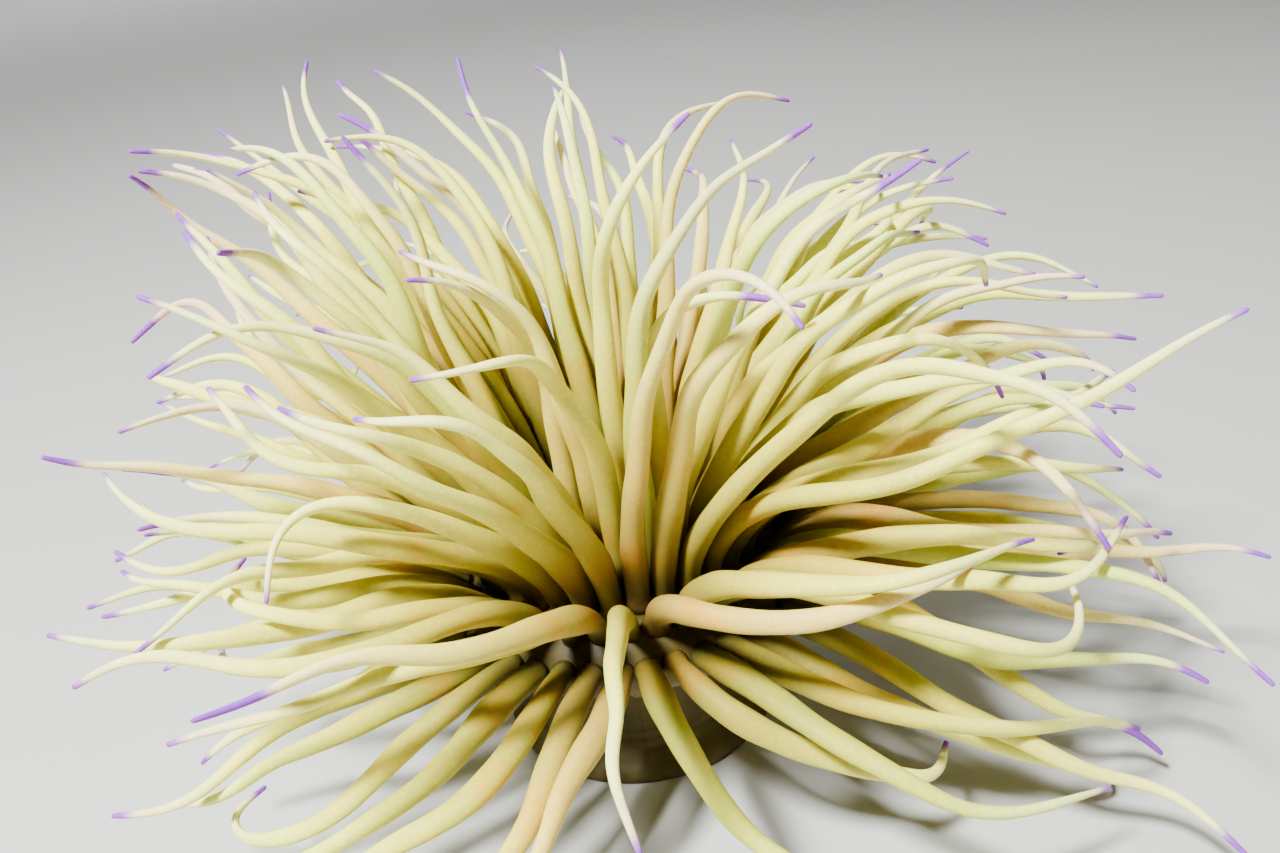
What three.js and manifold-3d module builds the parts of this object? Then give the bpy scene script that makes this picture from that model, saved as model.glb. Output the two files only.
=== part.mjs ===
// A snakelocks anemone, life size, standing on its pedal disc. Millimetres, +Z up, with the origin on the
// axis of the foot at ground level. The face shown to a visitor looks along -Y, and compass angles run from
// +X (0 right, 90 back, 180 left, 270 front).
import * as THREE from "three";
import { mergeVertices } from "three/addons/utils/BufferGeometryUtils.js";
import Module from "manifold-3d";

// ---------------------------------------------------------------- driving dimensions
const GAP = 0.35; // clear space between neighbouring solids
const PEDAL_RADIUS = 37; // the foot, flat on the ground
const PEDAL_HEIGHT = 6;
const PEDAL_TOP = PEDAL_RADIUS - 4; // radius of its upper face
const WAIST_RADIUS = 29; // the column at its narrowest
const WAIST_HEIGHT = 17;
const SHOULDER_RADIUS = 33; // where the column begins to widen under the crown
const SHOULDER_HEIGHT = 29;
const DISC_HEIGHT = 54; // top of the rim that bears the tentacles
const MOUTH_FIELD = 20.4; // radius of the bare oral disc inside the tentacles
const FLAT_RADIUS = 38.6; // the rim is flat out to here, then rolls over
const ROLL_RADIUS = 11.8; // radius of that roll
const CROWN_THICK = 8; // flesh under the tentacle roots
const ROLL_HEIGHT = DISC_HEIGHT - ROLL_RADIUS; // level of the roll's centre
const PARAPET_RADIUS = FLAT_RADIUS + ROLL_RADIUS - 0.6; // where the column meets the crown
const MOUTH_LENGTH = 17; // the slit and its lips
const MOUTH_WIDTH = 8.5;
const LIP_RADIUS = 1.7;

const ROOT_RADIUS = 2.6; // a tentacle where it leaves the disc
const BELLY_RADIUS = 3.45; // its widest, a little way out
const BELLY_AT = 0.16; // share of the length where it is widest
const TAPER = 1.35; // above 1 keeps the middle full and thins the end
const TIP_RADIUS = 0.7;
const ROOT_DEPTH = 2.2; // how far each root is set into the crown

const SECTORS = 6; // the crown is parted into this many wedges
const INNER_CUT = 32.4; // radius of the cut between the inner and the middle ring
const MARGIN_CUT = 45; // angle down the roll of the cut between the middle and the margin ring
const SIDES = 4; // flats around a tentacle
const BODY_FACETS = 24; // flats around the foot and the column
const CROWN_FACETS = 24; // flats around the crown, four to a wedge

// Rows of tentacles from the mouth field outward: tentacles in each wedge, distance of the roots from the
// axis, mean length, and straight steps along each.
const ROWS = [
  { each: 4, radius: 23.5, length: 114, steps: 5 },
  { each: 5, radius: 29.2, length: 114, steps: 5 },
  { each: 6, radius: 35.6, length: 112, steps: 5 },
  { each: 7, radius: 42.9, length: 106, steps: 5 },
  { each: 8, radius: 49.4, length: 98, steps: 5 },
];

// How a tentacle is posed: lean from the vertical halfway along and at the tip, turn of the tip's heading
// from the root's own compass angle, and length as a share of its row's.
const pose = (half, tip, turn, reach) => ({ half, tip, turn, reach });
const combed = (at, inner, middle, outer) => ({ at, inner, middle, outer });

// How the crown is combed at compass angles in order, for the innermost, the middle and the outermost row.
const COMB = [
  combed(0, pose(36, 114, 8, 1.03), pose(58, 118, 5, 1), pose(88, 104, -8, 1)),
  combed(45, pose(30, 80, -8, 1), pose(50, 96, -15, 1), pose(78, 88, -20, 1.06)),
  combed(80, pose(4, 40, 40, 1.1), pose(24, 54, 30, 1), pose(80, 90, 10, 0.9)),
  combed(110, pose(16, 46, 48, 1.14), pose(34, 54, 42, 1.08), pose(80, 88, 30, 0.95)),
  combed(145, pose(24, 58, 20, 1.18), pose(36, 60, 2, 1.2), pose(76, 84, 16, 1)),
  combed(162, pose(36, 44, 0, 1.22), pose(44, 52, -8, 1.12), pose(76, 76, 0, 1)),
  combed(185, pose(18, 48, -12, 1.14), pose(34, 50, -28, 1), pose(72, 74, -22, 0.82)),
  combed(215, pose(30, 64, -20, 1.06), pose(58, 72, -36, 0.92), pose(104, 90, -44, 0.82)),
  combed(245, pose(12, 76, -45, 1), pose(52, 82, -76, 0.94), pose(112, 96, -90, 1)),
  combed(266, pose(2, 70, -60, 1), pose(34, 92, -100, 1), pose(116, 98, -60, 0.85)),
  combed(278, pose(4, 78, 66, 1), pose(26, 90, 106, 1.12), pose(116, 98, 150, 1)),
  combed(300, pose(16, 86, 52, 1.08), pose(54, 92, 76, 1.16), pose(118, 98, 100, 1.1)),
  combed(330, pose(36, 108, 25, 1.04), pose(70, 108, 24, 1.04), pose(106, 98, 18, 1.02)),
];

const TENTACLE_COLOUR = 0xe3d9a0;
const COLUMN_COLOUR = 0xb9a878;

// Seeded variation of the comb, in degrees, for the innermost and the outermost row.
const BODY_SEED = 5;
const TIP_SEED = 8;
const LEAN_SPREAD = [14, 10];
const TURN_SPREAD = [32, 18];
const TIP_FREEDOM = 1.7; // how much more the tip's lean varies than that of the middle
const WAVE = 20; // waving along a tentacle
const WAVES = 8; // how fast it waves, in radians along its length
const WAVE_SHARES = [0.2, 1.2]; // the weakest and the strongest waving, as shares
const BOB = 0.8; // waving up and down, as a share of that from side to side
const CURL = 100; // hook of the very tip to either side
const HOOK = 60; // and downward
const HOOK_SHARES = [-0.2, 1]; // the weakest and the strongest hook, as shares
const HOOK_SHARPNESS = 6; // how late the hook begins
const LENGTH_SPREAD = 0.12;
const ROOT_LEAN = 4; // lean of the roots on the flat rim, more by this in each row outward
const TURN_LATENESS = 1.1; // above 1 turns late along the tentacle
const DROOP_LATENESS = 1.2; // above 1 droops late along its outer half
const GROWTH_STEPS = 60; // small steps that a tentacle is grown in
const STATION_CROWDING = 0.2; // how much closer together the stations lie towards the tip

// ---------------------------------------------------------------- small helpers
const { degToRad, radToDeg, lerp, smoothstep } = THREE.MathUtils;

// Repeatable random numbers from 0 to 1.
function makeRandom(seed) {
  let state = seed;
  return () => {
    state = (state + 0x6d2b79f5) | 0;
    let mixed = Math.imul(state ^ (state >>> 15), 1 | state);
    mixed = (mixed + Math.imul(mixed ^ (mixed >>> 7), 61 | mixed)) ^ mixed;
    return ((mixed ^ (mixed >>> 14)) >>> 0) / 2 ** 32;
  };
}
const bodyRandom = makeRandom(BODY_SEED);
const tipRandom = makeRandom(TIP_SEED);
const spread = (size, random = bodyRandom) => (random() * 2 - 1) * size;
const between = ([low, high], random = bodyRandom) => lerp(low, high, random());

// The unit vector that leans so far from the vertical towards a compass heading, both in degrees.
function direction(lean, heading) {
  return new THREE.Vector3().setFromSphericalCoords(1, degToRad(lean), degToRad(heading + 90))
    .applyAxisAngle(new THREE.Vector3(1, 0, 0), Math.PI / 2);
}

// ---------------------------------------------------------------- how tentacles grow
// Radius of a tentacle at a share of its length from root to tip.
function tentacleRadius(share) {
  const swell = Math.min(1, share / BELLY_AT);
  const root = lerp(ROOT_RADIUS, BELLY_RADIUS, swell * (2 - swell));
  const taper = Math.max(0, (share - BELLY_AT) / (1 - BELLY_AT)) ** TAPER;
  return root + (TIP_RADIUS - BELLY_RADIUS) * taper;
}

// The comb at a compass angle, for a row's share of the way out.
function combAt(angle, outward) {
  const next = COMB.findIndex((entry) => entry.at > angle);
  const high = COMB[next < 0 ? 0 : next];
  const low = COMB[(next < 0 ? COMB.length : next) - 1];
  const blend = smoothstep(angle - low.at, 0, (high.at - low.at + 360) % 360);
  const across = ({ inner, middle, outer }, key) => outward < 0.5
    ? lerp(inner[key], middle[key], 2 * outward)
    : lerp(middle[key], outer[key], 2 * outward - 1);
  const value = (key) => lerp(across(low, key), across(high, key), blend);
  return pose(value("half"), value("tip"), value("turn"), value("reach"));
}

// Where a station of a tentacle lies along it, as a share of its length.
function stationAt(index, steps) {
  const share = index / steps;
  return lerp(share, Math.sin((share * Math.PI) / 2), STATION_CROWDING);
}

// A tentacle as a chain of stations, grown in small steps from its root on the rim.
function growTentacle(wedge, row, place) {
  const { each, radius, length, steps } = ROWS[row];
  const angle = (wedge + (place + 0.5) / each) * (360 / SECTORS);
  const outward = row / (ROWS.length - 1);
  const posed = combAt(angle, outward);
  const half = posed.half + spread(lerp(...LEAN_SPREAD, outward));
  const tip = posed.tip + spread(TIP_FREEDOM * lerp(...LEAN_SPREAD, outward));
  const turn = posed.turn + spread(lerp(...TURN_SPREAD, outward));
  const wave = WAVE * between(WAVE_SHARES);
  const phase = spread(Math.PI);
  const curl = spread(CURL);
  const hook = HOOK * between(HOOK_SHARES, tipRandom);
  const reach = length * posed.reach * (1 + spread(LENGTH_SPREAD));
  const over = Math.max(0, radius - FLAT_RADIUS) / ROLL_RADIUS;
  const rootLean = over > 0 ? radToDeg(Math.asin(over)) : ROOT_LEAN * row;
  const root = direction(90, angle).multiplyScalar(radius);
  root.z = ROLL_HEIGHT + ROLL_RADIUS * Math.sqrt(1 - over ** 2);
  root.addScaledVector(direction(rootLean, angle), -ROOT_DEPTH);
  const points = [root.clone()];
  for (let i = 0, station = 1; i < GROWTH_STEPS; i++) {
    const share = (i + 0.5) / GROWTH_STEPS;
    const rising = share < 0.5;
    const lean = rising
      ? lerp(rootLean, half, 1 - (1 - 2 * share) ** 2)
      : lerp(half, tip, (2 * share - 1) ** DROOP_LATENESS);
    const atTip = share ** HOOK_SHARPNESS;
    const wag = wave * Math.sin(WAVES * share + phase) * Math.min(1, 3 * share);
    const bob = BOB * wave * Math.cos(WAVES * share + phase) * share;
    const heading = angle + turn * share ** TURN_LATENESS + wag + curl * atTip;
    root.addScaledVector(direction(lean + bob + hook * atTip, heading), reach / GROWTH_STEPS);
    if ((i + 1) / GROWTH_STEPS >= stationAt(station, steps) - 1e-9) {
      points.push(root.clone());
      station++;
    }
  }
  const radii = points.map((point, i) => tentacleRadius(stationAt(i, steps)));
  return { wedge, row, points, radii };
}

const tentacles = [];
for (let wedge = 0; wedge < SECTORS; wedge++)
  for (let row = 0; row < ROWS.length; row++)
    for (let place = 0; place < ROWS[row].each; place++) tentacles.push(growTentacle(wedge, row, place));

// ---------------------------------------------------------------- tentacles make room for each other
const ROUNDS = 300;
const STIFFNESS = 0.12; // how strongly a tentacle keeps the shape it grew in
const CLEARANCE = 0.5; // room kept between tentacles
const WATCH = 5; // how far apart a pair may be and still be watched
const WATCH_ROUNDS = 10; // how many rounds a list of watched pairs is used for

// Outer radius of the body at a height, for keeping tentacles off the column.
const columnRadius = (height) => lerp(WAIST_RADIUS, PEDAL_RADIUS, smoothstep(-height, -WAIST_HEIGHT, 0));

function keepOffBody(point, radius) {
  const out = Math.hypot(point.x, point.y);
  const across = Math.max(0, out - FLAT_RADIUS);
  const up = point.z - ROLL_HEIGHT;
  const away = Math.hypot(across, up);
  const need = ROLL_RADIUS + radius + GAP;
  if (away < need && away > 0) {
    const push = (need - away) / away;
    point.z += up * push;
    point.x += (point.x / out) * across * push;
    point.y += (point.y / out) * across * push;
  }
  const clear = columnRadius(point.z) + radius + GAP;
  if (point.z < ROLL_HEIGHT && out < clear) {
    point.x *= clear / out;
    point.y *= clear / out;
  }
  point.z = Math.max(point.z, radius + GAP);
}

// The nearest points of two segments, as shares along each.
function nearest(a, b, c, d) {
  const u = b.clone().sub(a);
  const v = d.clone().sub(c);
  const w = a.clone().sub(c);
  const uu = u.dot(u);
  const uv = u.dot(v);
  const vv = v.dot(v);
  const uw = u.dot(w);
  const vw = v.dot(w);
  const det = uu * vv - uv * uv;
  const clamp = (value) => Math.min(1, Math.max(0, value));
  let s = det > 1e-6 ? clamp((uv * vw - vv * uw) / det) : 0.5;
  let t = clamp((uv * s + vw) / vv);
  s = clamp((uv * t - uw) / uu);
  t = clamp((uv * s + vw) / vv);
  return [s, t];
}

function relax() {
  const segments = [];
  for (const tentacle of tentacles) {
    tentacle.grown = tentacle.points.slice(1).map((point, i) => point.clone().sub(tentacle.points[i]));
    for (let i = 0; i + 1 < tentacle.points.length; i++) segments.push({ tentacle, i });
  }
  const ends = ({ tentacle, i }) => [tentacle.points[i], tentacle.points[i + 1]];
  const move = ({ tentacle, i }, share, push, weight) => {
    const norm = weight / ((1 - share) ** 2 + share ** 2);
    if (i > 0) tentacle.points[i].addScaledVector(push, norm * (1 - share));
    tentacle.points[i + 1].addScaledVector(push, norm * share);
  };
  let pairs = [];
  for (let round = 0; round < ROUNDS; round++) {
    if (round % WATCH_ROUNDS === 0) {
      pairs = [];
      const balls = segments.map((segment) => {
        const [a, b] = ends(segment);
        const widest = Math.max(segment.tentacle.radii[segment.i], segment.tentacle.radii[segment.i + 1]);
        return { at: a.clone().lerp(b, 0.5), radius: a.distanceTo(b) / 2 + widest + WATCH / 2 };
      });
      for (let i = 0; i < segments.length; i++)
        for (let j = i + 1; j < segments.length; j++) {
          const near = balls[i].at.distanceTo(balls[j].at) < balls[i].radius + balls[j].radius;
          const same = segments[i].tentacle === segments[j].tentacle && j - i < 2;
          if (near && !same) pairs.push([segments[i], segments[j]]);
        }
    }
    for (const { points, grown } of tentacles)
      for (let i = 0; i < grown.length; i++) {
        const fix = grown[i].clone().sub(points[i + 1]).add(points[i]).multiplyScalar(STIFFNESS);
        if (i > 0) points[i].addScaledVector(fix, -0.5);
        points[i + 1].addScaledVector(fix, i > 0 ? 0.5 : 1);
      }
    for (const [first, second] of pairs) {
      const [a, b] = ends(first);
      const [c, d] = ends(second);
      const [s, t] = nearest(a, b, c, d);
      const push = a.clone().lerp(b, s).sub(c.clone().lerp(d, t));
      const apart = push.length();
      const need = lerp(first.tentacle.radii[first.i], first.tentacle.radii[first.i + 1], s)
        + lerp(second.tentacle.radii[second.i], second.tentacle.radii[second.i + 1], t) + CLEARANCE;
      if (apart >= need || apart === 0) continue;
      push.multiplyScalar((need - apart) / apart);
      move(first, s, push, 0.5);
      move(second, t, push, -0.5);
    }
    for (const { points, grown, radii } of tentacles)
      for (let i = 0; i < grown.length; i++) {
        const length = grown[i].length();
        const along = points[i + 1].clone().sub(points[i]);
        const fix = along.multiplyScalar(length / along.length() - 1);
        if (i > 0) points[i].addScaledVector(fix, -0.5);
        points[i + 1].addScaledVector(fix, i > 0 ? 0.5 : 1);
        keepOffBody(points[i + 1], radii[i + 1]);
      }
  }
}
relax();

// ---------------------------------------------------------------- solids
const wasm = await Module();
wasm.setup();

function toSolid(geometry) {
  const bare = new THREE.BufferGeometry().setAttribute("position", geometry.getAttribute("position"));
  bare.setIndex(geometry.index);
  const merged = mergeVertices(bare, 1e-4);
  const triVerts = new Uint32Array(merged.index.array);
  const vertProperties = new Float32Array(merged.attributes.position.array);
  return new wasm.Manifold(new wasm.Mesh({ numProp: 3, vertProperties, triVerts }));
}

// A body of revolution from an outline of [radius, height] pairs that runs outward and up, then back.
function turned(outline, facets = BODY_FACETS) {
  const profile = outline.map(([radius, height]) => new THREE.Vector2(radius, height));
  return toSolid(new THREE.LatheGeometry(profile, facets).rotateX(Math.PI / 2));
}

// A point on the rim's roll, at a distance from its centre and an angle off the vertical in degrees, moved
// sideways along the cut at that angle.
function rollPoint(distance, angle, aside = 0) {
  const sine = Math.sin(degToRad(angle));
  const cosine = Math.cos(degToRad(angle));
  return [FLAT_RADIUS + distance * sine + aside * cosine, ROLL_HEIGHT + distance * cosine - aside * sine];
}

// A tentacle's solid: a four-sided tube through its stations, closed by its set-in root and its pointed tip.
function tentacleSolid({ points, radii }) {
  const last = points.length - 1;
  const across = new THREE.Vector3(-points[0].y, points[0].x, 0).normalize();
  const positions = [];
  for (let i = 0; i < last; i++) {
    const along = points[i + 1].clone().sub(points[Math.max(i - 1, 0)]).normalize();
    across.addScaledVector(along, -across.dot(along)).normalize();
    const side = along.cross(across);
    for (let corner = 0; corner < SIDES; corner++) {
      const angle = (2 * Math.PI * (corner + 0.5)) / SIDES;
      const at = points[i].clone().addScaledVector(across, radii[i] * Math.cos(angle));
      positions.push(...at.addScaledVector(side, radii[i] * Math.sin(angle)).toArray());
    }
  }
  positions.push(...points[last].toArray());
  const faces = [];
  for (let corner = 0; corner < SIDES; corner++) {
    const next = (corner + 1) % SIDES;
    for (let ring = 0; ring < last - 1; ring++) {
      const a = ring * SIDES + corner;
      const b = ring * SIDES + next;
      faces.push(a, b, b + SIDES, a, b + SIDES, a + SIDES);
    }
    faces.push((last - 1) * SIDES + corner, (last - 1) * SIDES + next, last * SIDES);
    if (corner > 1) faces.push(0, corner, corner - 1);
  }
  const geometry = new THREE.BufferGeometry();
  geometry.setAttribute("position", new THREE.Float32BufferAttribute(positions, 3));
  return toSolid(geometry.setIndex(faces));
}

const group = new THREE.Group();

function addPart(name, solid, colour) {
  const { vertProperties, triVerts, numProp } = solid.getMesh();
  const geometry = new THREE.BufferGeometry();
  const corners = new THREE.InterleavedBuffer(vertProperties, numProp);
  geometry.setAttribute("position", new THREE.InterleavedBufferAttribute(corners, 3, 0));
  geometry.setIndex(new THREE.BufferAttribute(triVerts, 1));
  const part = new THREE.Mesh(geometry, new THREE.MeshStandardMaterial({ color: colour, roughness: 0.5 }));
  part.name = name;
  group.add(part);
}

// Underside of the crown: its level under the flat rim, and its distance from the roll's centre.
const crownFloor = DISC_HEIGHT - CROWN_THICK;
const rollFloor = ROLL_RADIUS - CROWN_THICK;

// The foot, a low spreading disc with a rounded edge.
addPart("pedal_disc", turned([
  [0, 0],
  [PEDAL_RADIUS, 0],
  [PEDAL_RADIUS + 0.8, 1.6],
  [PEDAL_RADIUS - 1.2, 4],
  [PEDAL_TOP, PEDAL_HEIGHT],
  [0, PEDAL_HEIGHT],
]), COLUMN_COLOUR);

// The column narrows to a waist and widens again to the parapet under the tentacles. Its top follows the
// underside of the crown.
addPart("column", turned([
  [0, PEDAL_HEIGHT + GAP],
  [PEDAL_TOP - 0.3, PEDAL_HEIGHT + GAP],
  [WAIST_RADIUS, WAIST_HEIGHT],
  [SHOULDER_RADIUS, SHOULDER_HEIGHT],
  [PARAPET_RADIUS - 2, ROLL_HEIGHT - GAP - 4.3],
  [PARAPET_RADIUS, ROLL_HEIGHT - GAP],
  rollPoint(rollFloor - 2 * GAP, 90),
  rollPoint(rollFloor - 2 * GAP, 0),
  [0, crownFloor - GAP],
]), COLUMN_COLOUR);

// The crown is three rings side by side: two flat ones and the margin, which rolls over. Each is parted
// into wedges by thin blades.
const rings = [
  {
    name: "inner",
    rows: [0, 1],
    outline: [
      [MOUTH_FIELD, crownFloor],
      [INNER_CUT - GAP / 2, crownFloor],
      [INNER_CUT - GAP / 2, DISC_HEIGHT],
      [MOUTH_FIELD, DISC_HEIGHT],
      [MOUTH_FIELD, crownFloor],
    ],
  },
  {
    name: "middle",
    rows: [2, 3],
    outline: [
      [INNER_CUT + GAP / 2, crownFloor],
      [FLAT_RADIUS, crownFloor],
      rollPoint(rollFloor, MARGIN_CUT, -GAP / 2),
      rollPoint(ROLL_RADIUS, MARGIN_CUT, -GAP / 2),
      [FLAT_RADIUS, DISC_HEIGHT],
      [INNER_CUT + GAP / 2, DISC_HEIGHT],
      [INNER_CUT + GAP / 2, crownFloor],
    ],
  },
  {
    name: "margin",
    rows: [4],
    outline: [
      rollPoint(rollFloor, MARGIN_CUT, GAP / 2),
      rollPoint(rollFloor, 90),
      rollPoint(ROLL_RADIUS, 90),
      rollPoint(ROLL_RADIUS, MARGIN_CUT, GAP / 2),
      rollPoint(rollFloor, MARGIN_CUT, GAP / 2),
    ],
  },
];
const blades = wasm.Manifold.union(Array.from({ length: SECTORS / 2 }, (_, i) => {
  const blade = new THREE.BoxGeometry(3 * DISC_HEIGHT, GAP, 3 * DISC_HEIGHT);
  return toSolid(blade.rotateZ((i / SECTORS) * 2 * Math.PI));
}));

// Each piece of the crown is joined with the tentacles whose roots are set in it.
for (const { name, rows, outline } of rings)
  for (const piece of turned(outline, CROWN_FACETS).subtract(blades).decompose()) {
    const { min, max } = piece.boundingBox();
    const turn = Math.atan2(min[1] + max[1], min[0] + max[0]) / (2 * Math.PI);
    const wedge = Math.floor(((turn + 1) % 1) * SECTORS);
    const own = tentacles.filter((one) => one.wedge === wedge && rows.includes(one.row));
    const solid = wasm.Manifold.union([piece, ...own.map(tentacleSolid)]).simplify(0.05);
    addPart(`crown_${name}_${wedge + 1}`, solid, TENTACLE_COLOUR);
  }

// The bare middle of the oral disc, hollowed towards the slit of the mouth, and the swollen lips round it.
const lipLevel = DISC_HEIGHT - 2.2;
function mouthRing(tube) {
  const ring = new THREE.TorusGeometry(MOUTH_LENGTH / 2 - LIP_RADIUS, tube, 5, 12);
  return toSolid(ring.scale(1, MOUTH_WIDTH / MOUTH_LENGTH, 1).translate(0, 0, lipLevel));
}
const throat = new THREE.SphereGeometry(MOUTH_LENGTH / 2 - LIP_RADIUS, 12, 6);
throat.scale(1, MOUTH_WIDTH / MOUTH_LENGTH, 0.6).translate(0, 0, lipLevel);
addPart("oral_disc", turned([
  [0, crownFloor],
  [MOUTH_FIELD - GAP, crownFloor],
  [MOUTH_FIELD - GAP, DISC_HEIGHT - 0.6],
  [0.7 * MOUTH_FIELD, DISC_HEIGHT - 1.6],
  [0, lipLevel],
]).subtract(toSolid(throat)).subtract(mouthRing(LIP_RADIUS + GAP)), COLUMN_COLOUR);
addPart("lips", mouthRing(LIP_RADIUS), TENTACLE_COLOUR);

export default group;
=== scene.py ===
"""A snakelocks anemone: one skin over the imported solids, a plain floor, studio light and the photo's view."""
import math

import bpy
import numpy as np
from mathutils import Matrix, Vector
from mathutils.kdtree import KDTree


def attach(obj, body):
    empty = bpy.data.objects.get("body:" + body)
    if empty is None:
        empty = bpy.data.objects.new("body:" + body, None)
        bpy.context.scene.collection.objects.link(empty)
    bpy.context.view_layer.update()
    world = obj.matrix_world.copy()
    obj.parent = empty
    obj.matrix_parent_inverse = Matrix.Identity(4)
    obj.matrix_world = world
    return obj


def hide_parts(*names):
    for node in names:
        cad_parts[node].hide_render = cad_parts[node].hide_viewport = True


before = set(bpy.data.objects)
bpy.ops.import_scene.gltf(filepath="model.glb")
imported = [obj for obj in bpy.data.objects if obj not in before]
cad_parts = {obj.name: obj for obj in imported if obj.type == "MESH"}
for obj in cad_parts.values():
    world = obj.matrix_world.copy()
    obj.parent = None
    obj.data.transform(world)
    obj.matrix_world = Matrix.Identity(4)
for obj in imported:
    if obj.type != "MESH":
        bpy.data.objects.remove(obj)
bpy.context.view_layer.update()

MM = 0.001
TURN = 2 * math.pi
TINY = 1e-6                        # keeps a division safe
rng = np.random.default_rng(11)

# ------------------------------------------------------------------ camera
LENS_FOV = 60.0                    # degrees across the long side
SENSOR_WIDTH = 36.0
TARGET = Vector((9, 0, 82)) * MM
DISTANCE = 275 * MM
ELEVATION = 28.0
ROLL = -8.0


def add_camera():
    """The photo's view, from the front and above."""
    data = bpy.data.cameras.new("camera")
    data.sensor_width = SENSOR_WIDTH
    data.lens = SENSOR_WIDTH / 2 / math.tan(math.radians(LENS_FOV / 2))
    data.clip_start = 0.01
    data.clip_end = 20
    camera = bpy.data.objects.new("camera", data)
    bpy.context.scene.collection.objects.link(camera)
    elevation = math.radians(ELEVATION)
    back = Vector((0, -math.cos(elevation), math.sin(elevation)))
    look = (-back).to_track_quat("-Z", "Y").to_matrix().to_4x4()
    roll = Matrix.Rotation(math.radians(ROLL), 4, "Z")
    camera.matrix_world = Matrix.Translation(TARGET + back * DISTANCE) @ look @ roll
    bpy.context.scene.camera = camera


add_camera()

# ------------------------------------------------------------------ the plan of the animal, in mm
SECTORS = 6                        # wedges of the crown
ROWS = {                           # tentacles in each wedge and their distance from the axis, by row
    0: (4, 23.5),
    1: (5, 29.2),
    2: (6, 35.6),
    3: (7, 42.9),
    4: (8, 49.4),
}
RINGS = {"inner": (0, 1), "middle": (2, 3), "margin": (4,)}
DISC_HEIGHT = 54.0                 # top of the rim that bears the tentacles
FLAT_RADIUS = 38.6                 # the rim is flat out to here, then rolls over
ROLL_RADIUS = 11.8
ROLL_HEIGHT = DISC_HEIGHT - ROLL_RADIUS


def root_of(row, wedge, place):
    """Surface point and outward normal of a tentacle's root."""
    each, radius = ROWS[row]
    angle = math.radians((wedge + (place + 0.5) / each) * 360 / SECTORS)
    over = max(0.0, radius - FLAT_RADIUS) / ROLL_RADIUS
    upright = math.sqrt(1 - over * over)
    outward = np.array((math.cos(angle), math.sin(angle), 0.0))
    normal = outward * over + np.array((0, 0, upright))
    point = outward * radius
    point[2] = ROLL_HEIGHT + ROLL_RADIUS * upright
    return point, normal


# ------------------------------------------------------------------ the tentacles' solids, ring by ring
MICRONS = 1e6                      # in a metre
TUBE_CORNERS = 4                   # corners of a ring of a solid tentacle
TIP_RING = 3.0                     # largest radius of the ring next to a tip, in mm
TIP_RING_SPREAD = 0.6              # and how far its corners may differ in radius
TIP_STEP = 6.0                     # least distance from a tip to that ring
TUBE_RING = 4.5                    # a wider ring lies where the tube meets the crown
ROOT_ZONE = 6.0                    # stations this near a root give way to it


def welded(name):
    """A node's vertices in mm and its triangles, with doubled vertices joined."""
    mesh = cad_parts[name].data
    points = np.empty(len(mesh.vertices) * 3)
    mesh.vertices.foreach_get("co", points)
    mesh.calc_loop_triangles()
    faces = np.empty(len(mesh.loop_triangles) * 3, int)
    mesh.loop_triangles.foreach_get("vertices", faces)
    microns = np.round(points.reshape(-1, 3) * MICRONS).astype(int)
    points, index = np.unique(microns, axis=0, return_inverse=True)
    return points * MM, index.reshape(-1)[faces].reshape(-1, 3)


def neighbours(points, faces):
    """The vertices next to each vertex."""
    near = [set() for _ in points]
    for a, b, c in faces:
        near[a] |= {b, c}
        near[b] |= {a, c}
        near[c] |= {a, b}
    return near


def is_tip(points, tip, ring):
    """Whether a vertex is a tentacle's tip, with a ring of the tube next to it."""
    if len(ring) != TUBE_CORNERS:
        return False
    middle = points[ring].mean(0)
    reach = np.linalg.norm(points[ring] - middle, axis=1)
    far = np.linalg.norm(points[tip] - middle) >= TIP_STEP
    return far and reach.max() <= TIP_RING and np.ptp(reach) <= TIP_RING_SPREAD


def walk_inward(points, near, tip):
    """The tip and the middles of the rings from there to where the tube meets the crown."""
    ring = list(near[tip])
    middle = points[ring].mean(0)
    stations = [points[tip], middle]
    seen = {tip, *ring}
    while len(ring) == TUBE_CORNERS and np.linalg.norm(points[ring] - middle, axis=1).max() < TUBE_RING:
        ring = list(set().union(*(near[vertex] for vertex in ring)) - seen)
        middle = points[ring].mean(0)
        stations.append(middle)
        seen.update(ring)
    return stations


def chains_of(name):
    """The tentacles of a crown node, each with its stations from root to tip."""
    points, faces = welded(name)
    near = neighbours(points, faces)
    _, ring_name, number = name.split("_")
    wedge = int(number) - 1
    roots = [(row, *root_of(row, wedge, place)) for row in RINGS[ring_name] for place in range(ROWS[row][0])]
    found = []
    for tip, ring in enumerate(near):
        if not is_tip(points, tip, list(ring)):
            continue
        stations = walk_inward(points, near, tip)
        while min(np.linalg.norm(stations[-2] - root) for _, root, _ in roots) < ROOT_ZONE:
            stations.pop()
        # the last station lies where the tube meets the crown, and tells which root is its own
        row, root, normal = min(roots, key=lambda entry: np.linalg.norm(entry[1] - stations[-1]))
        stations[-1] = root
        found.append({"row": row, "normal": normal, "stations": np.array(stations[::-1])})
    return found


chains = []
for node in sorted(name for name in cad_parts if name.startswith("crown_")):
    chains += chains_of(node)
print("tentacles", len(chains), {row: sum(chain["row"] == row for chain in chains) for row in ROWS})

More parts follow.
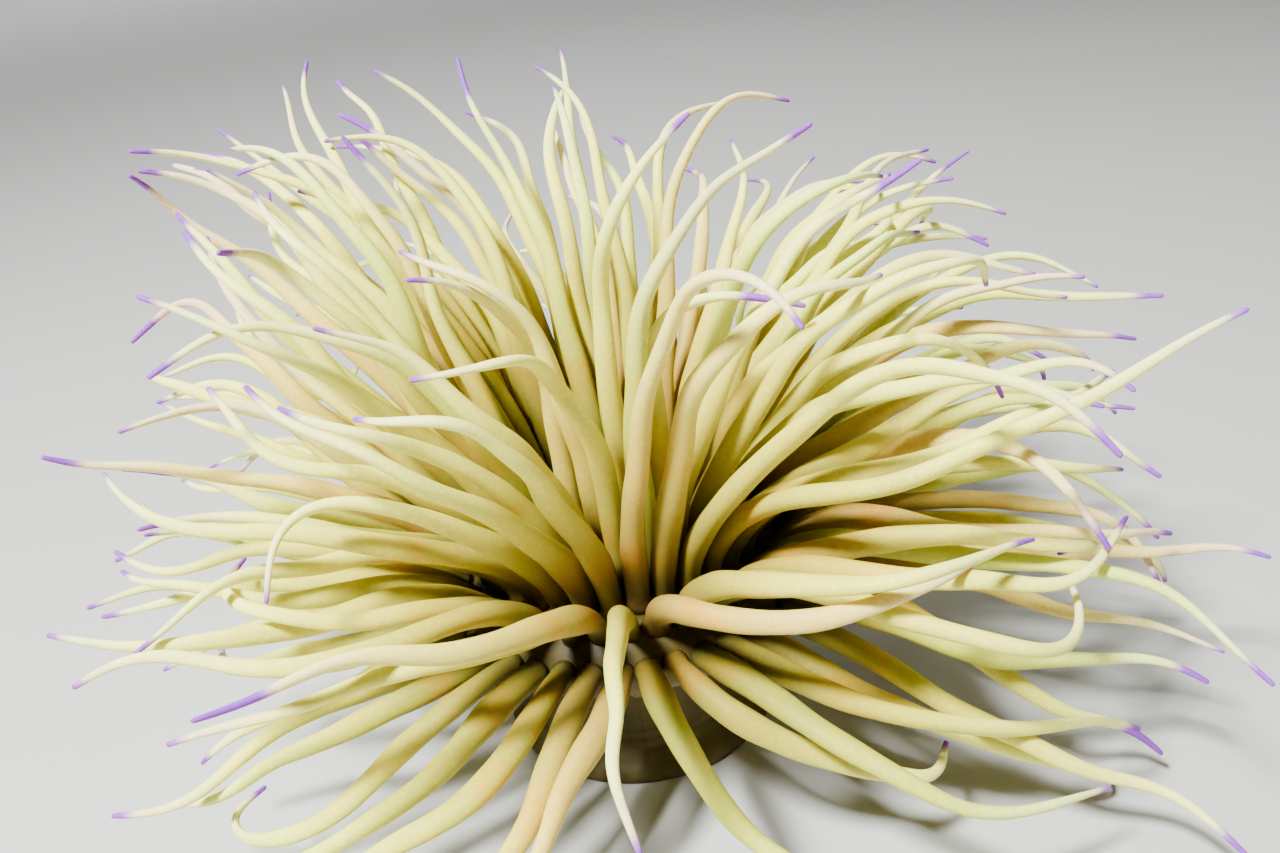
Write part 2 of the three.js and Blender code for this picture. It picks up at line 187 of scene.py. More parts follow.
# ------------------------------------------------------------------ lines and profiles
FINE = 200                         # samples of a curve before it is resampled evenly
COARSE = 30                        # samples of a centreline while tentacles make room
ROOT_RADIUS = 2.6                  # a tentacle where it leaves the disc
BELLY_RADIUS = 3.3                 # its widest
BELLY_AT = 0.16                    # share of the length where it is widest
TIP_RADIUS = 0.55
TAPER = 1.2                        # above 1 keeps the middle full
ROOT_PULL = 0.9                    # how firmly a tentacle leaves along its root's normal
WAVE_HEIGHT = 0.9                  # small waves towards the end, in mm
WAVE_LENGTHS = (5.0, 8.0)          # shortest and longest, in mm to a radian
WAVE_PHASES = 6.3                  # their starts are spread over about a turn, in radians
WAVE_GROWTH = 2.2                  # how fast they grow along the tentacle
WAVE_LATENESS = 0.5                # and how late they begin


def between(low, high):
    """A random number from low to high."""
    return low + (high - low) * rng.random()


def rise(value, start, end):
    """0 before start and 1 beyond end, straight between them. End may be the lower one."""
    return np.clip((value - start) / (end - start), 0, 1)


def unit(vectors):
    """Vectors of length 1 with the same directions."""
    return vectors / np.linalg.norm(vectors, axis=-1, keepdims=True)


def run_along(line):
    """Length of a line from its start to each of its points."""
    return np.concatenate(([0], np.cumsum(np.linalg.norm(np.diff(line, axis=0), axis=1))))


def resampled(line, run, want):
    """Points of a line at the wanted lengths from its start."""
    return np.stack([np.interp(want, run, line[:, axis]) for axis in range(3)], axis=1)


def hermite(at, knots, slopes, want):
    """Points of a cubic at the wanted lengths, through knots that lie at given lengths."""
    k = np.clip(np.searchsorted(at, want, side="right") - 1, 0, len(at) - 2)
    h = (at[k + 1] - at[k])[:, None]
    u = (want - at[k])[:, None] / h
    return ((1 + 2 * u) * (1 - u) ** 2 * knots[k] + u * (1 - u) ** 2 * h * slopes[k]
            + u * u * (3 - 2 * u) * knots[k + 1] - u * u * (1 - u) * h * slopes[k + 1])


def spline(knots, start, samples):
    """A C2 cubic through the knots by chord length, leaving the first knot along start, at even samples."""
    gaps = np.linalg.norm(np.diff(knots, axis=0), axis=1)
    count = len(knots)
    system = np.zeros((count, count))
    right = np.zeros((count, 3))
    system[0, 0] = 1
    right[0] = start
    for i in range(1, count - 1):
        system[i, i - 1] = gaps[i]
        system[i, i] = 2 * (gaps[i - 1] + gaps[i])
        system[i, i + 1] = gaps[i - 1]
        right[i] = 3 * (gaps[i] * (knots[i] - knots[i - 1]) / gaps[i - 1]
                        + gaps[i - 1] * (knots[i + 1] - knots[i]) / gaps[i])
    system[-1, -2:] = 1, 2
    right[-1] = 3 * (knots[-1] - knots[-2]) / gaps[-1]
    at = run_along(knots)
    return hermite(at, knots, np.linalg.solve(system, right), np.linspace(0, at[-1], samples))


def soften(values):
    """Smooths points along their lines, in place and twice, keeping both ends."""
    for _ in range(2):
        values[..., 1:-1, :] = (0.25 * values[..., :-2, :] + 0.5 * values[..., 1:-1, :]
                                + 0.25 * values[..., 2:, :])


def width(share):
    """Radius of a tentacle of the skin, in mm, at shares of its length."""
    swell = np.minimum(1, share / BELLY_AT)
    root = ROOT_RADIUS + (BELLY_RADIUS - ROOT_RADIUS) * swell * (2 - swell)
    taper = np.maximum(0, (share - BELLY_AT) / (1 - BELLY_AT)) ** TAPER
    return root + (TIP_RADIUS - BELLY_RADIUS) * taper


def shape_centreline(chain):
    """Gives a chain its smooth line, with small waves of its own towards the end."""
    curve = spline(chain["stations"], chain["normal"] * ROOT_PULL, FINE)
    run = run_along(curve)
    length = run[-1]
    line = resampled(curve, run, np.linspace(0, length, COARSE))
    share = np.linspace(0, 1, COARSE)
    onset = np.clip(share * WAVE_GROWTH - WAVE_LATENESS, 0, 1)
    heading = unit(np.gradient(line, axis=0))
    side = unit(np.cross(heading, rng.normal(size=3)))
    for aside in (side, np.cross(heading, side)):
        wave = np.sin(share * length / between(*WAVE_LENGTHS) + WAVE_PHASES * rng.random())
        line = line + aside * (wave * WAVE_HEIGHT * onset)[:, None]
    soften(line)
    chain.update(length=length, line=line, radii=width(share))


for chain in chains:
    shape_centreline(chain)

# ------------------------------------------------------------------ tentacles make room for each other
ROUNDS = 24
LIST_ROUNDS = 6                    # rounds between one list of close pairs and the next
WATCH = 9.0                        # samples nearer than this are on the list, in mm
CLEARANCE = 0.15                   # wanted between tentacles that touch
CROSSING = 0.5                     # sine of the least angle between tentacles that cross
CROSSING_REACH = 0.75              # share of the step between samples, added to their reach where they cross
PUSH = 1.4                         # above 1 hurries
HOMING = 0.02                      # how strongly a line goes back to its first shape
HELD_ROOT = (0.0, 0.3, 0.6)        # share of its push that each sample next to the root takes


def close_pairs(flat, owner):
    """Samples of different tentacles that lie close together, as two lists."""
    tree = KDTree(len(flat))
    for i, point in enumerate(flat):
        tree.insert(point, i)
    tree.balance()
    first = []
    second = []
    for i, point in enumerate(flat):
        for _, j, _ in tree.find_range(point, WATCH):
            if j > i and owner[j] != owner[i]:
                first.append(i)
                second.append(j)
    return np.array(first), np.array(second)


def pushes(lines, radii, pairs):
    """How far each sample has to move to clear the tentacles it touches."""
    flat = lines.reshape(-1, 3)
    a, b = pairs
    gap = flat[a] - flat[b]
    apart = np.linalg.norm(gap, axis=1)
    direct = gap / np.maximum(apart, TINY)[:, None]
    # samples are spaced along a tentacle, so where two cross only the part of the gap across both counts
    along = unit(np.gradient(lines, axis=1).reshape(-1, 3))
    normal = np.cross(along[a], along[b])
    sine = np.linalg.norm(normal, axis=1)
    across = normal / np.maximum(sine, TINY)[:, None]
    through = (gap * across).sum(1)
    spacing = np.linalg.norm(flat[a] - flat[np.minimum(a + 1, len(flat) - 1)], axis=1) * CROSSING_REACH
    crossing = (sine > CROSSING) & (apart < radii[a] + radii[b] + spacing)
    way = np.where(crossing[:, None], across * np.sign(through)[:, None], direct)
    measure = np.where(crossing, np.abs(through), apart)
    lack = np.maximum(0, radii[a] + radii[b] + CLEARANCE - measure)
    push = way * (lack / 2)[:, None]
    shift = np.zeros_like(flat)
    weight = np.zeros(len(flat))
    for index, sign in ((a, 1), (b, -1)):
        np.add.at(shift, index, sign * push)
        np.add.at(weight, index, lack > 0)
    shift /= np.maximum(weight, 1)[:, None]
    return shift.reshape(lines.shape)


def make_room():
    """Moves smooth centrelines apart where their rounder bends would touch."""
    lines = np.stack([chain["line"] for chain in chains])
    home = lines.copy()
    radii = np.stack([chain["radii"] for chain in chains]).reshape(-1)
    owner = np.repeat(np.arange(len(chains)), COARSE)
    for turn in range(ROUNDS):
        if turn % LIST_ROUNDS == 0:
            pairs = close_pairs(lines.reshape(-1, 3), owner)
        shift = pushes(lines, radii, pairs)
        shift[:, :len(HELD_ROOT)] *= np.array(HELD_ROOT)[None, :, None]
        soften(shift)
        lines = lines + PUSH * shift
        lines += HOMING * (home - lines)
    moved = np.linalg.norm(lines - home, axis=2)
    print("room: moved at most %.2f mm, on average %.3f" % (moved.max(), moved.mean()))
    for chain, line in zip(chains, lines):
        chain["line"] = line


make_room()

# ------------------------------------------------------------------ skin mesh
MARKS = ("along", "tone", "flush", "violet", "bend", "body", "millimetres")
BODY_BAND = 0.22                   # the atlas: the body in a band below, tentacles in strips above it
COLUMNS = 30
LINES = 6
STRIP_MARGIN = (0.04, 0.02)        # left round a strip, as shares of its width and height
BODY_MARGIN = 0.01                 # left round the body's band
CAP_UV = 0.002                     # radius of a closing face in the atlas


class Skin:
    """Rings of points round tubes, with their places in the atlas and their marks, for one mesh."""

    def __init__(self):
        self.points = []
        self.quads = []
        self.uvs = []
        self.caps = []
        self.marks = {key: [] for key in MARKS}
        self.count = 0

    def add_tube(self, points, uv_box, values):
        """Adds a tube of points, rings by sides, closed at both ends."""
        rings, sides = points.shape[:2]
        base = self.count
        self.count += rings * sides
        self.points.append(points.reshape(-1, 3))
        ring, side = np.meshgrid(np.arange(rings - 1), np.arange(sides), indexing="ij")
        after = (side + 1) % sides
        corners = [ring * sides + side, ring * sides + after,
                   (ring + 1) * sides + after, (ring + 1) * sides + side]
        self.quads.append(np.stack(corners, axis=-1).reshape(-1, 4) + base)
        u0, v0, u1, v1 = uv_box
        u = u0 + (u1 - u0) * np.stack([side, side + 1, side + 1, side], -1) / sides
        v = v0 + (v1 - v0) * np.stack([ring, ring, ring + 1, ring + 1], -1) / (rings - 1)
        self.uvs.append(np.stack([u, v], -1).reshape(-1, 2))
        for key in MARKS:
            self.marks[key].append(np.broadcast_to(values[key], (rings, sides)).reshape(-1))
        first = np.arange(sides) + base
        self.add_cap(first[::-1], (u0 + u1) / 2, v0)
        self.add_cap(first + (rings - 1) * sides, (u0 + u1) / 2, v1)

    def add_cap(self, loop, u, v):
        """Adds a closing face, which is a small circle in the atlas."""
        around = np.linspace(0, TURN, len(loop), endpoint=False)
        self.caps.append((loop, np.stack([u + CAP_UV * np.cos(around), v + CAP_UV * np.sin(around)], -1)))

    def build(self, name):
        """Makes one object of all that was added."""
        quads = np.concatenate(self.quads)
        loops = [loop for loop, _ in self.caps]
        corners = np.concatenate([quads.reshape(-1), *loops])
        loops_before = np.cumsum([0] + [len(loop) for loop in loops[:-1]])
        starts = np.concatenate([np.arange(len(quads)) * 4, quads.size + loops_before])
        mesh = bpy.data.meshes.new(name)
        mesh.vertices.add(self.count)
        mesh.vertices.foreach_set("co", (np.concatenate(self.points) * MM).reshape(-1))
        mesh.loops.add(len(corners))
        mesh.loops.foreach_set("vertex_index", corners)
        mesh.polygons.add(len(starts))
        mesh.polygons.foreach_set("loop_start", starts)
        atlas = np.concatenate([*self.uvs, *[uv for _, uv in self.caps]])
        uv_map = mesh.uv_layers.new(name="OFBake")
        uv_map.data.foreach_set("uv", atlas.reshape(-1))
        for key, values in self.marks.items():
            layer = mesh.attributes.new(key, "FLOAT", "POINT")
            layer.data.foreach_set("value", np.concatenate(values).astype(np.float32))
        mesh.update(calc_edges=True)
        mesh.validate(verbose=True)
        mesh.shade_smooth()
        piece = bpy.data.objects.new(name, mesh)
        bpy.context.scene.collection.objects.link(piece)
        return piece


surface = Skin()

# ------------------------------------------------------------------ tentacles
TUBE_STEPS = 84                    # rings along a tentacle of the skin
TUBE_SIDES = 22
TUBE_FINE = 400                    # samples of the curve that the rings are placed on
CROWDING = 0.92                    # below 1 draws the rings together towards the tip
TIP_RINGS = 8                      # rings in the rounded tip
TIP_LENGTH = 1.2                   # its length, as a multiple of its radius
TIP_START = 0.16                   # where its first ring lies on its quarter turn
TIP_WIDTHS = (0.9, 1.2)            # thinnest and thickest tip, as multiples of TIP_RADIUS
LAST_RING = 0.0004                 # square of the last ring's share of the radius, which keeps it open
GIRTHS = (0.93, 1.05)              # thinnest and thickest tentacle, as multiples of width()
SWELLINGS = ((0.035, 17), (0.025, 41))  # slow waves of the radius: share of it, and radians from root to tip
FLARE = 0.9                        # widening where it grows out of the disc, in mm
FLARE_LENGTH = 1.6
FLARE_FADE = 1.5
FIRST_CORNER = (0.3, 0.2, 0.93)    # the corners of a tube are counted from a direction across this one
FLATTENING = 0.085
FLAT_WINDING = 2.5                 # radians that its flat side winds from root to tip
VIOLET_LEAST = 2.5                 # violet at its end, in mm
VIOLET_MORE = 5.0                  # the most on top of that
VIOLET_LONG = 7.0                  # and what one tentacle in ten has besides
LONG_SHARE = 0.1
VIOLET_BLUR = 1.5                  # the violet fades in from this far before its edge to this far behind
FLUSH_STARTS = (0.45, 0.75)        # shares of the length between which a mauve flush begins
FLUSH_FADE = 0.3                   # and over which it grows
FLUSHED = (0.725, 0.975)           # a draw below the first means no flush, above the second a full one
END_FLUSH = 0.5                    # the flush that every end has
END_FLUSH_AT = (0.86, 0.96)


def ring_shares(length, tip_width):
    """Where the rings lie along a tentacle, closest together in its rounded tip."""
    steps = np.linspace(0, 1, TUBE_STEPS)
    steps = (steps ** CROWDING + steps) / 2
    tip = tip_width * TIP_LENGTH / length
    shaft = steps[:-TIP_RINGS] / steps[-TIP_RINGS] * (1 - tip)
    dome = np.sin(np.linspace(TIP_START, 1, TIP_RINGS) * TURN / 4)
    return np.concatenate([shaft, 1 - tip * (1 - dome)])


def ring_radii(share, length, tip_width, phase, girth):
    """Radius of each ring, with slow swellings, a rounded tip and a flared root."""
    left = np.maximum(0, 1 - share) * length
    dome = 1 - np.maximum(0, 1 - left / (tip_width * TIP_LENGTH)) ** 2
    swelling = sum(height * np.sin(share * waves + start) for (height, waves), start in zip(SWELLINGS, phase))
    radius = width(share) * np.sqrt(np.clip(dome, LAST_RING, 1)) * (girth * (1 + swelling))
    return radius + FLARE * np.exp(-(share * length / FLARE_LENGTH) ** FLARE_FADE)


def ring_directions(tangent, angle):
    """Directions from the middle of each ring to its corners, carried along without twist."""
    across = np.cross(tangent[0], FIRST_CORNER)
    frames = []
    for along in tangent:
        across = unit(across - along * np.dot(across, along))
        frames.append((across, np.cross(along, across)))
    frames = np.array(frames)
    return (frames[:, 0][:, None] * np.cos(angle)[None, :, None]
            + frames[:, 1][:, None] * np.sin(angle)[None, :, None])


def bend_of(middle, tangent, ring, radius):
    """How sharply a tube bends, as its radius over the bend's: above 0 on the inner side."""
    step = np.linalg.norm(np.gradient(middle, axis=0), axis=1, keepdims=True)
    turning = np.gradient(tangent, axis=0) / np.maximum(step, TINY)
    return np.clip(np.einsum("rsk,rk->rs", ring, turning) * radius[:, None], -1, 1)


def violet_of(from_root, length):
    """Strength of a tentacle's violet end."""
    coloured = VIOLET_LEAST + VIOLET_MORE * rng.random() ** 2
    if rng.random() > 1 - LONG_SHARE:
        coloured += VIOLET_LONG
    edge = length - coloured
    return rise(from_root, edge - VIOLET_BLUR, edge + VIOLET_BLUR)


def flush_of(share):
    """Strength of the mauve flush, which few tentacles have before their end."""
    start = between(*FLUSH_STARTS)
    flush = rise(share, start, start + FLUSH_FADE) * rise(rng.random(), *FLUSHED)
    return np.maximum(flush, END_FLUSH * rise(share, *END_FLUSH_AT))


def strip(number):
    """A tentacle's place in the atlas."""
    line, column = divmod(number, COLUMNS)
    height = (1 - BODY_BAND) / LINES
    beside, below = STRIP_MARGIN
    return ((column + beside) / COLUMNS, BODY_BAND + (line + below) * height,
            (column + 1 - beside) / COLUMNS, BODY_BAND + (line + 1 - below) * height)


def add_tentacle(number, chain):
    """Lofts a slightly flattened tube on a chain's line."""
    length = chain["length"]
    tip_width = TIP_RADIUS * between(*TIP_WIDTHS)
    phase = rng.random(3) * TURN
    girth = between(*GIRTHS)
    share = ring_shares(length, tip_width)
    from_root = share * length
    radius = ring_radii(share, length, tip_width, phase, girth)
    violet = violet_of(from_root, length)
    flush = flush_of(share)
    tone = rng.random()
    line = chain["line"]
    curve = spline(line, unit(line[1] - line[0]), TUBE_FINE)
    run = run_along(curve)
    middle = resampled(curve, run, share * run[-1])
    tangent = unit(np.gradient(middle, axis=0))
    angle = np.arange(TUBE_SIDES) / TUBE_SIDES * TURN
    ring = ring_directions(tangent, angle)
    from_flat = angle[None, :] + phase[2] + share[:, None] * FLAT_WINDING
    flatness = 1 - FLATTENING * (1 - np.cos(2 * from_flat))
    points = middle[:, None] + ring * radius[:, None, None] * flatness[:, :, None]
    surface.add_tube(points, strip(number), {
        "along": share[:, None],
        "tone": tone,
        "flush": flush[:, None],
        "violet": violet[:, None],
        "bend": bend_of(middle, tangent, ring, radius),
        "body": 0.0,
        "millimetres": from_root[:, None],
    })


for number, chain in enumerate(chains):
    add_tentacle(number, chain)

# ------------------------------------------------------------------ column, rim and oral disc
BODY_SIDES = 384
BODY_RINGS = 190
SOLE_RINGS = 13                    # more of them under the foot
SOLE_EDGE = 3                      # number of the foot's last point on the ground
FOOT = [                           # outlines as radius and height in mm
    (0, 0), (20, 0), (34, 0), (36.6, 0), (37.3, 0.5), (37.5, 1.6), (36.4, 3.2), (34.2, 4.8), (32.4, 6.6),
]
COLUMN = [
    (31.0, 9.0), (29.6, 12.5), (28.8, 17.0), (29.3, 22.0), (31.0, 26.5), (33.6, 30.0), (38.0, 33.4),
    (43.2, 36.0), (47.0, 38.2), (49.2, 40.2),
]
RIM = [(FLAT_RADIUS + ROLL_RADIUS * math.sin(lean), ROLL_HEIGHT + ROLL_RADIUS * math.cos(lean))
       for lean in np.radians(np.linspace(88, 2, 26))]
ORAL_DISC = [
    (36, 54), (32, 53.95), (28, 53.9), (24, 53.75), (20.5, 53.4), (17, 52.7), (14, 52.1), (11.5, 51.75),
]
LIPS = [(9.8, 51.8), (8.9, 52.2), (8.1, 52.9), (7.2, 53.3), (6.3, 53.2), (5.5, 52.5), (5.0, 51.4)]
THROAT = [(4.7, 50), (4.2, 48.6), (3.0, 47.7), (1.5, 47.3), (0, 47.2)]
UNDER_RIM = 92                     # the outline has run this far where the rim begins
UPPER = 45                         # all that is higher is rim, disc, lips or throat
DISC_ABOVE = 45.5                  # and has the disc's colours from here up
DISC_MARK = 0.5                    # the body mark there. Tentacles have 0
COLUMN_MARK = 1.0
FURROWS = 48                       # lengthwise, round the column
FURROW_DEPTH = 0.28                # depths and heights of the relief, in mm
CREASE_DEPTH = 0.16
UNEVENNESS = 0.25
SINK = 0.3                         # the column lies about this far inside its solid
SWELLING_COUNT = 48
SWELLING_HEIGHT = 1.1
FOOT_UNEVENNESS = 0.35
DISC_RIBS = 48
RIB_HEIGHT = 0.16
LIP_FOLDS = 22
FOLD_HEIGHT = 0.22


def body_profile():
    """Outline of the body from the middle of the sole round to the throat, and the length run along it."""
    outline = np.array(FOOT + COLUMN + RIM + ORAL_DISC + LIPS + THROAT, float)
    run = run_along(outline)
    sole = np.linspace(0, run[SOLE_EDGE], SOLE_RINGS + 1)[:-1]
    want = np.concatenate([sole, np.linspace(run[SOLE_EDGE], run[-1], BODY_RINGS)])
    line = hermite(run, outline, np.gradient(outline, run, axis=0), want)
    return np.maximum(line, 0), want


def column_relief(angle, height, wander):
    """Lengthwise furrows on the column and creases round its base."""
    where = rise(height, 2, 6) * rise(height, 41, 38)
    furrow = np.abs(np.sin(FURROWS / 2 * angle + 0.8 * wander + 0.05 * height)) ** 0.6 - 0.6
    crease = np.sin(height * 2.6 + 1.7 * wander) * rise(height, 16, 8)
    return where * (FURROW_DEPTH * furrow + CREASE_DEPTH * crease + UNEVENNESS * wander - SINK)


def swellings_relief(angle, radius, height, run):
    """Small round swellings under the edge of the crown."""
    edge = np.exp(-((height - 39.6) / 1.1) ** 2) * (radius > 44) * (run < UNDER_RIM)
    return SWELLING_HEIGHT * edge * np.clip(np.cos(SWELLING_COUNT * angle), 0, 1) ** 0.7


def foot_relief(radius, height, wander):
    """The uneven edge of the foot."""
    edge = (radius > 34) * (height < 4.5) * rise(height, 0, 1)
    return FOOT_UNEVENNESS * edge * (wander - 0.6)


def disc_relief(angle, radius, height):
    """Fine ribs on the oral disc and folds in the lips."""
    ribs = rise(radius, 21.5, 18.5) * rise(radius, 9, 14) * np.cos(DISC_RIBS * angle)
    folds = np.exp(-((radius - 6.9) / 1.9) ** 2) * np.cos(LIP_FOLDS * angle)
    return (height > UPPER) * (RIB_HEIGHT * ribs + FOLD_HEIGHT * folds)


def add_body():
    """Turns the body's outline round the axis, with its relief and a mouth narrowed to a slit."""
    line, run = body_profile()
    radius = line[:, :1]
    height = line[:, 1:]
    angle = np.arange(BODY_SIDES)[None, :] / BODY_SIDES * TURN
    wander = 0.5 * np.sin(5 * angle + 1) + 0.3 * np.sin(11 * angle + 2.4) + 0.2 * np.sin(23 * angle)
    reach = (radius + column_relief(angle, height, wander) + foot_relief(radius, height, wander)
             + swellings_relief(angle, radius, height, run[:, None]))
    # the mouth is half as wide as it is long, and the disc is round from 15.3 mm out
    squeeze = np.where(height > UPPER, 0.5 + 0.5 * rise(radius, 8.8, 15.3), 1.0)
    points = np.stack([reach * np.cos(angle), reach * np.sin(angle) * squeeze,
                       height + disc_relief(angle, radius, height)], axis=-1)
    # the first and last rings lie on the axis, where closing faces take their place
    surface.add_tube(points[1:-1], (BODY_MARGIN, BODY_MARGIN, 1 - BODY_MARGIN, BODY_BAND - BODY_MARGIN), {
        "along": 0.0,
        "tone": 0.5,
        "flush": 0.0,
        "violet": 0.0,
        "bend": 0.0,
        "body": np.where(height > DISC_ABOVE, DISC_MARK, COLUMN_MARK)[1:-1],
        "millimetres": height[1:-1],
    })


add_body()
skin = surface.build("anemone_skin")
triangles = sum(len(face.vertices) - 2 for face in skin.data.polygons)
print("skin", len(skin.data.vertices), "vertices", triangles, "triangles")


# ------------------------------------------------------------------ materials
class Nodes:
    """Short calls for building a material's node tree."""

    def __init__(self, name):
        self.material = bpy.data.materials.new(name)
        self.material.use_nodes = True
        self.tree = self.material.node_tree
        self.shader = self.tree.nodes["Principled BSDF"]

    def add(self, kind, values=None, **inputs):
        """Adds a node, with its settings in values and its sockets by name."""
        node = self.tree.nodes.new(kind)
        for key, value in (values or {}).items():
            setattr(node, key, value)
        for key, value in inputs.items():
            self.put(node.inputs[key.replace("_", " ")], value)
        return node

    def put(self, socket, value):
        """Links an output to a socket, or sets the socket to a constant."""
        if isinstance(value, bpy.types.NodeSocket):
            self.tree.links.new(value, socket)
        else:
            socket.default_value = value

    def mark(self, name):
        """A mark of the skin."""
        return self.add("ShaderNodeAttribute", {"attribute_name": name}).outputs["Fac"]

    def math(self, operation, a, b=0.0, c=0.0):
        node = self.add("ShaderNodeMath", {"operation": operation})
        for socket, value in zip(node.inputs, (a, b, c)):
            self.put(socket, value)
        return node.outputs[0]

    def span(self, value, start, end):
        """0 at start and 1 at end, smooth between them."""
        node = self.add("ShaderNodeMapRange", {"interpolation_type": "SMOOTHSTEP"})
        for socket, item in zip(node.inputs, (value, start, end)):
            self.put(socket, item)
        return node.outputs[0]

    def mix(self, share, a, b, blend="MIX"):
        """Two colours, mixed by a share of the second."""
        node = self.add("ShaderNodeMix", {"data_type": "RGBA", "blend_type": blend})
        self.put(node.inputs[0], share)
        self.put(node.inputs[6], a if isinstance(a, bpy.types.NodeSocket) else (*a, 1))
        self.put(node.inputs[7], b if isinstance(b, bpy.types.NodeSocket) else (*b, 1))
        return node.outputs[2]

    def tint(self, share, colour, factor):
        """A colour multiplied by a factor for each channel, as far as share says."""
        return self.mix(share, colour, factor, "MULTIPLY")

    def ramp(self, value, stops):
        """A colour from a list of places and their colours."""
        node = self.add("ShaderNodeValToRGB")
        self.put(node.inputs[0], value)
        elements = node.color_ramp.elements
        while len(elements) < len(stops):
            elements.new(0.5)
        for element, (place, colour) in zip(elements, stops):
            element.position = place
            element.color = (*colour, 1)
        return node.outputs[0]

    def noise(self, scale, detail, stretch=None):
        """Noise in the object's own coordinates, with scale in lumps to a metre."""
        place = self.add("ShaderNodeTexCoord").outputs["Object"]
        if stretch is not None:
            mapping = self.add("ShaderNodeMapping")
            self.put(mapping.inputs["Vector"], place)
            mapping.inputs["Scale"].default_value = stretch
            place = mapping.outputs[0]
        return self.add("ShaderNodeTexNoise", Vector=place, Scale=scale, Detail=detail).outputs["Fac"]


TENTACLE_COLOURS_AND_ROOT_SHADE = [               # from the olive root, darkened towards it as painted shade deep in the crown, to the pale greenish end
    (0.00, (0.060, 0.045, 0.007)),
    (0.08, (0.150, 0.118, 0.014)),
    (0.20, (0.340, 0.280, 0.028)),
    (0.42, (0.610, 0.545, 0.058)),
    (0.68, (0.870, 0.850, 0.155)),
    (0.92, (0.930, 0.940, 0.340)),
]
# the column's own olive-brown streaks, kept this dark as painted shade under the overhanging crown
COLUMN_COLOURS_IN_PAINTED_SHADE = [(0.30, (0.070, 0.050, 0.014)), (0.70, (0.160, 0.120, 0.034))]
DISC_COLOURS = [(0.30, (0.035, 0.024, 0.004)), (0.70, (0.085, 0.060, 0.009))]
MAUVE = (0.62, 0.36, 0.46)
VIOLET = (0.26, 0.055, 0.52)
WARM = (1.0, 0.80, 1.25)           # a factor on the colour under it, as are the next three
COOL = (0.84, 0.98, 0.95)
GOLDEN = (1.10, 0.82, 0.50)
FRECKLE = (1.14, 1.12, 1.06)
BLOTCHES = 60.0                    # lumps to a metre
STREAKS = 40.0
FRECKLES = 900.0
GRAIN = 1500.0
WRINKLES = 4.6                     # radians to a millimetre


def tentacle_colour(n, blotch):
    """Colour along a tentacle, with painted shade at its root, each with a tone of its own."""
    along = n.mark("along")
    tone = n.mark("tone")
    wandering = n.math("ADD", along, n.math("MULTIPLY_ADD", blotch, 0.12, -0.06))
    # the dark root end of this ramp is partly the tentacles' own olive and partly painted shade between their
    # crowded bases
    colour = n.ramp(wandering, TENTACLE_COLOURS_AND_ROOT_SHADE)
    colour = n.tint(n.span(tone, 0.62, 1.0), colour, WARM)
    colour = n.tint(n.span(tone, 0.35, 0.0), colour, COOL)
    # golden patches on the inner half
    patches = n.math("MULTIPLY", n.span(blotch, 0.48, 0.68), n.span(along, 0.65, 0.25))
    colour = n.tint(patches, colour, GOLDEN)
    colour = n.mix(n.math("MULTIPLY", n.mark("flush"), 0.6), colour, MAUVE)
    colour = n.mix(n.mark("violet"), colour, VIOLET)
    return n.tint(n.span(n.noise(FRECKLES, 2.0), 0.50, 0.70), colour, FRECKLE)


def body_colour(n, blotch, body):
    """A blotched disc, and lengthwise streaks on the column, whose olive-brown is kept dark as painted shade
    under the crown.
    """
    streaks = n.noise(STREAKS, 3.0, (1, 1, 0.12))
    return n.mix(n.span(body, 0.6, 0.9), n.ramp(blotch, DISC_COLOURS), n.ramp(streaks, COLUMN_COLOURS_IN_PAINTED_SHADE))


def dents(n, blotch):
    """Fine wrinkles across the inner side of bends, a faint grain and soft unevenness."""
    waves = n.math("MULTIPLY_ADD", n.mark("millimetres"), WRINKLES, n.math("MULTIPLY", blotch, 9.0))
    creases = n.math("MULTIPLY", n.math("SINE", waves), n.span(n.mark("bend"), 0.06, 0.35))
    grain = n.math("MULTIPLY", n.noise(GRAIN, 2.0), 0.22)
    return n.math("ADD", n.math("MULTIPLY_ADD", creases, 0.55, grain), n.math("MULTIPLY", blotch, 0.8))


def flesh():
    """Moist flesh, coloured by the skin's marks."""
    n = Nodes("flesh")
    blotch = n.noise(BLOTCHES, 3.0)
    body = n.mark("body")
    colour = n.mix(n.span(body, 0.2, 0.4), tentacle_colour(n, blotch), body_colour(n, blotch, body))
    n.put(n.shader.inputs["Base Color"], colour)
    n.put(n.shader.inputs["Roughness"], n.math("MULTIPLY_ADD", blotch, 0.20, 0.46))
    n.shader.inputs["IOR"].default_value = 1.38
    n.shader.inputs["Specular IOR Level"].default_value = 0.25
    n.shader.inputs["Subsurface Weight"].default_value = 0.3
    n.shader.inputs["Subsurface Radius"].default_value = (1.0, 0.70, 0.30)
    n.shader.inputs["Subsurface Scale"].default_value = 2.0 * MM
    bump = n.add("ShaderNodeBump", Height=dents(n, blotch), Strength=0.35, Distance=0.35 * MM)
    n.put(n.shader.inputs["Normal"], bump.outputs[0])
    return n.material


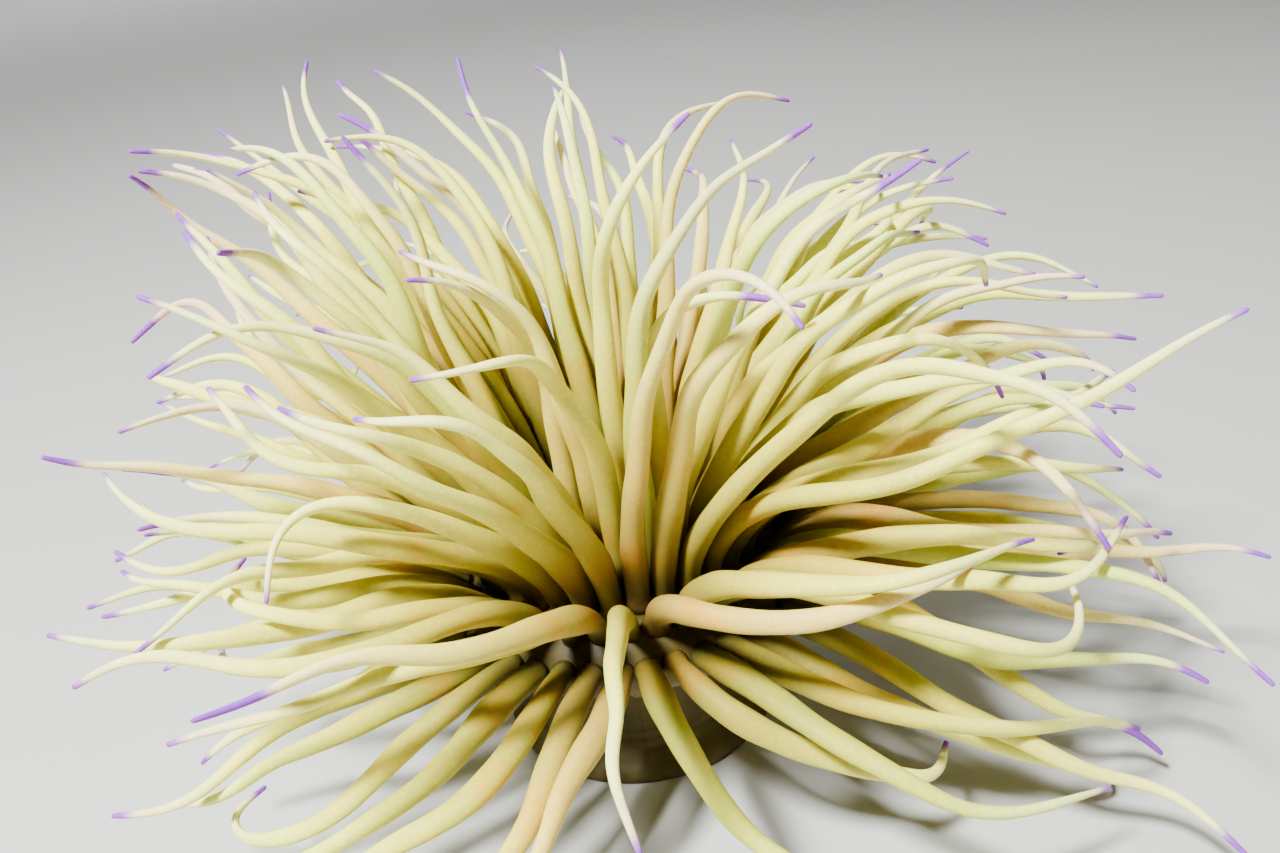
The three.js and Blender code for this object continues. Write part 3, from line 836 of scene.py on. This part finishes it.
skin.data.materials.append(flesh())
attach(skin, "root")
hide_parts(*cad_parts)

# ------------------------------------------------------------------ floor and light
FLOOR_SIZE = 12
FLOOR_HEIGHT = -0.2 * MM           # just under the foot
FLOOR_COLOUR = (0.50, 0.50, 0.49)
FLOOR_DARKER = 0.97                # the darkest of its faint mottling
MODEL = (0, 0, 0.06)               # where most lamps aim
LAMPS = [                          # name, place, power, size, colour, aim
    ("key", (-0.35, -0.42, 0.95), 50, 0.14, (0.98, 1.0, 0.96), MODEL),
    ("fill", (0.85, -0.45, 0.60), 1.0, 0.7, (0.97, 0.98, 1.0), MODEL),
    ("rim", (-0.1, 0.9, 0.8), 2, 0.6, (0.95, 0.98, 1.0), MODEL),
    ("ground", (-1.2, 3.4, 2.6), 120, 2.2, (1, 1, 1), (-1.8, 3.8, 0)),
]
WORLD_COLOUR = (0.90, 0.94, 1.0, 1)
WORLD_STRENGTH = 0.035


def floor_finish():
    """Plain pale grey, faintly mottled."""
    n = Nodes("floor")
    darker = tuple(channel * FLOOR_DARKER for channel in FLOOR_COLOUR)
    n.put(n.shader.inputs["Base Color"], n.mix(n.noise(30.0, 2.0), FLOOR_COLOUR, darker))
    n.shader.inputs["Roughness"].default_value = 0.8
    return n.material


def add_lamp(name, place, power, size, colour, aim):
    """A square area lamp that faces its aim."""
    data = bpy.data.lights.new(name, "AREA")
    data.energy = power
    data.size = size
    data.color = colour
    lamp = bpy.data.objects.new(name, data)
    lamp.location = place
    lamp.rotation_euler = (Vector(aim) - Vector(place)).to_track_quat("-Z", "Y").to_euler()
    bpy.context.scene.collection.objects.link(lamp)


def add_world():
    """A faint even light from all round."""
    world = bpy.data.worlds.new("studio")
    world.use_nodes = True
    background = world.node_tree.nodes["Background"]
    background.inputs["Color"].default_value = WORLD_COLOUR
    background.inputs["Strength"].default_value = WORLD_STRENGTH
    bpy.context.scene.world = world


bpy.ops.mesh.primitive_plane_add(size=FLOOR_SIZE, location=(0, 0, FLOOR_HEIGHT))
floor = bpy.context.object
floor.name = "floor"
floor.data.materials.append(floor_finish())
for lamp in LAMPS:
    add_lamp(*lamp)
add_world()
